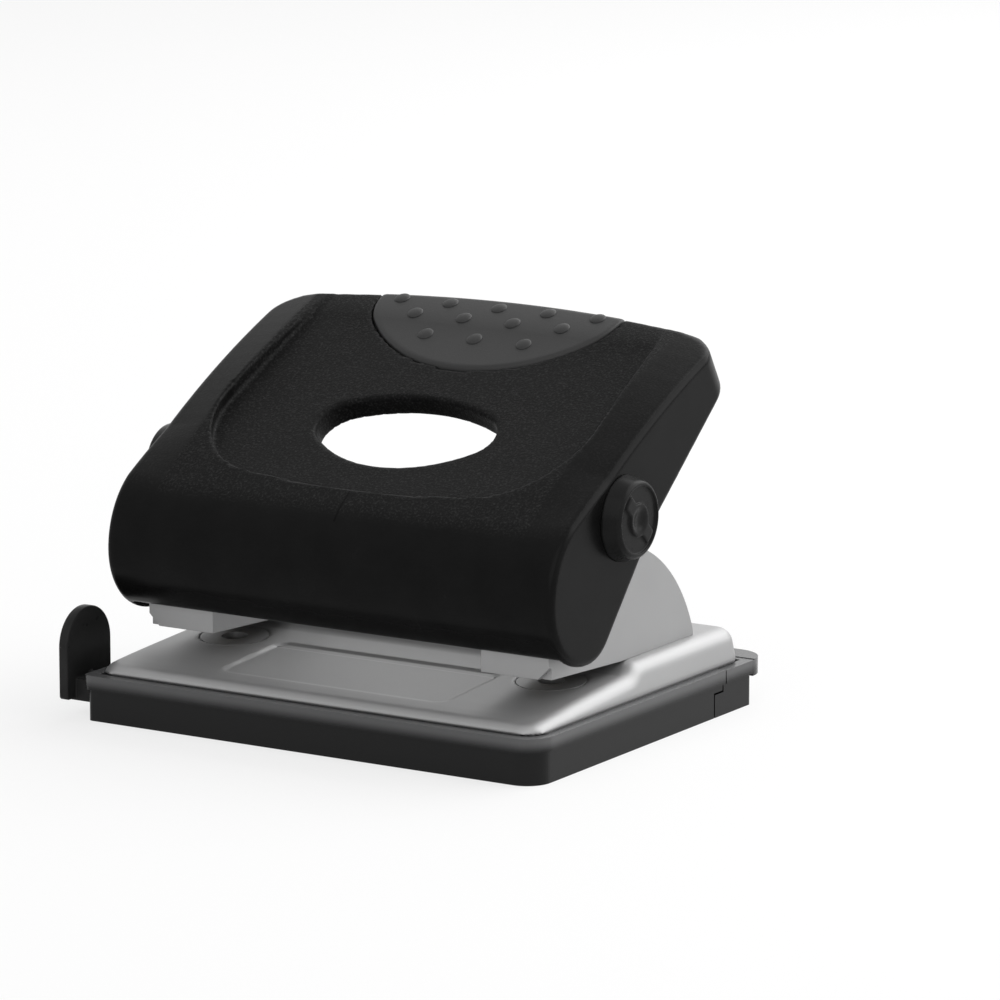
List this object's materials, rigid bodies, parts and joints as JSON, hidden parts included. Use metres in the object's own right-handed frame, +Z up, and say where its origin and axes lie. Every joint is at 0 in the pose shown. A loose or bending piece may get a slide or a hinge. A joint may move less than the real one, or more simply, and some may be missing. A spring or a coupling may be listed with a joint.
{
  "type": "two-hole punch",
  "caption": "Desk paper punch: a broad moulded handle on side pivots drives two pins down through a sheet-metal base, with a chip tray below and a sliding paper guide.",
  "frame": {"origin": "middle of the chip tray's footprint, on the table", "axes": "+X to the right along the line of the two pins, +Y from the paper side to the grip side, +Z up"},
  "size_m": [0.1227, 0.0953, 0.0846],
  "materials": {
    "smoky_plastic": "smoky, slightly see-through",
    "black_plastic": "fine grain, satin",
    "grip_rubber": "matte",
    "satin_steel": "satin, lacquered",
    "dark_steel": "dull",
    "bright_steel": "polished",
    "bush_brass": "plain"
  },
  "bodies": {
    "base": {"base_plate": "satin_steel", "chip_tray": "smoky_plastic", "door_hinge_pins": "bright_steel", "frame_left": "satin_steel", "frame_right": "satin_steel", "frame_rivets": "bright_steel", "base_screws": "bright_steel", "tie_rod": "bright_steel", "lower_bush_left": "bush_brass", "lower_bush_right": "bush_brass", "upper_bush_left": "bush_brass", "upper_bush_right": "bush_brass", "die_left": "dark_steel", "die_right": "dark_steel", "pin_spring_left": "bright_steel", "pin_spring_right": "bright_steel"},
    "handle": {"handle_cover": "black_plastic", "grip_pad": "grip_rubber", "lever_bracket": "dark_steel", "cover_screws": "bright_steel", "drive_stud_left": "bright_steel", "drive_stud_right": "bright_steel", "pivot_axle": "bright_steel", "axle_clips": "dark_steel", "axle_cap_left": "black_plastic", "axle_cap_right": "black_plastic"},
    "left_slide": {"carriage_left": "dark_steel", "punch_pin_left": "bright_steel"},
    "right_slide": {"carriage_right": "dark_steel", "punch_pin_right": "bright_steel"},
    "guide": {"paper_guide": "black_plastic"},
    "door": {"chip_door": "smoky_plastic"}
  },
  "joints": [
    {"name": "handle_press", "type": "hinge", "parent": "base", "child": "handle", "pos_m": [0, -0.009, 0.05], "axis": [-1, 0, 0], "range_deg": [0, 28], "stiffness_Nm_per_rad": 0.4, "springref_deg": -17.19},
    {"name": "left_pin_slide", "type": "slide", "parent": "base", "child": "left_slide", "axis": [0, 0, -1], "range_m": [0, 0.00605], "deforming": ["pin_spring_left"]},
    {"name": "right_pin_slide", "type": "slide", "parent": "base", "child": "right_slide", "axis": [0, 0, -1], "range_m": [0, 0.00605], "deforming": ["pin_spring_right"]},
    {"name": "guide_slide", "type": "slide", "parent": "base", "child": "guide", "axis": [-1, 0, 0], "range_m": [-0.0035, 0.05]},
    {"name": "door_swing", "type": "hinge", "parent": "base", "child": "door", "pos_m": [0, 0.0248, 0.0014], "axis": [-1, 0, 0], "range_deg": [0, 80]}
  ],
  "couplings": [
    {"joint": "left_pin_slide", "follows": "handle_press", "m_per_rad": 0.012278},
    {"joint": "right_pin_slide", "follows": "handle_press", "m_per_rad": 0.012278}
  ]
}
